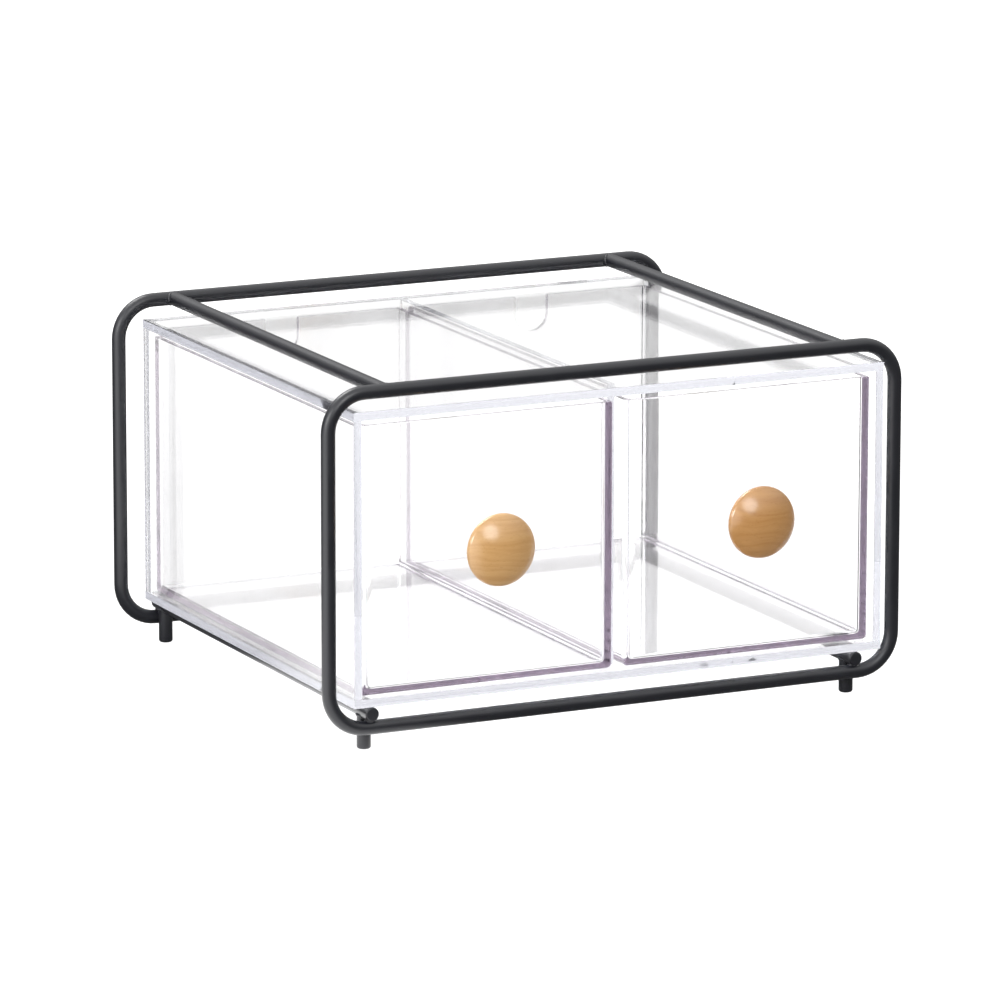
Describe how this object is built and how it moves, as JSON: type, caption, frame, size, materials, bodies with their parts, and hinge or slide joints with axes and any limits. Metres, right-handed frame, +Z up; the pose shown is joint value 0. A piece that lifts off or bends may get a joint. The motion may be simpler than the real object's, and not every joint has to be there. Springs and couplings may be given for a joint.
{
  "type": "countertop display bin",
  "caption": "Countertop display bin: black rod frame round a clear case with side-by-side clear pull-out bins, each with a round wooden knob.",
  "frame": {"origin": "middle of the overall width and depth, level with the undersides of the feet", "axes": "+X to the right seen from the front, -Y towards the user at the knobs, +Z up"},
  "size_m": [0.357, 0.319, 0.205],
  "materials": {
    "frame_black": "satin black powder coat",
    "case_clear": "clear polished acrylic sheet",
    "bin_clear": "clear moulded acrylic, faint violet at the edges",
    "knob_wood": "satin clear lacquer on pale hardwood",
    "screw_steel": "plain stainless steel",
    "insert_brass": "plain turned brass"
  },
  "bodies": {
    "frame": {"front_hoop": "frame_black", "rear_hoop": "frame_black", "left_top_rod": "frame_black", "right_top_rod": "frame_black", "left_bottom_rod": "frame_black", "right_bottom_rod": "frame_black", "front_left_foot": "frame_black", "front_right_foot": "frame_black", "rear_left_foot": "frame_black", "rear_right_foot": "frame_black", "case_top": "case_clear", "case_bottom": "case_clear", "case_left": "case_clear", "case_right": "case_clear", "case_back": "case_clear", "case_divider": "case_clear"},
    "left_drawer": {"left_bin": "bin_clear", "left_knob": "knob_wood", "left_knob_screw": "screw_steel", "left_knob_washer": "screw_steel", "left_knob_insert": "insert_brass"},
    "right_drawer": {"right_bin": "bin_clear", "right_knob": "knob_wood", "right_knob_screw": "screw_steel", "right_knob_washer": "screw_steel", "right_knob_insert": "insert_brass"}
  },
  "joints": [
    {"name": "left_drawer_slide", "type": "slide", "parent": "frame", "child": "left_drawer", "axis": [0, -1, 0], "range_m": [0, 0.24]},
    {"name": "right_drawer_slide", "type": "slide", "parent": "frame", "child": "right_drawer", "axis": [0, -1, 0], "range_m": [0, 0.24]}
  ]
}
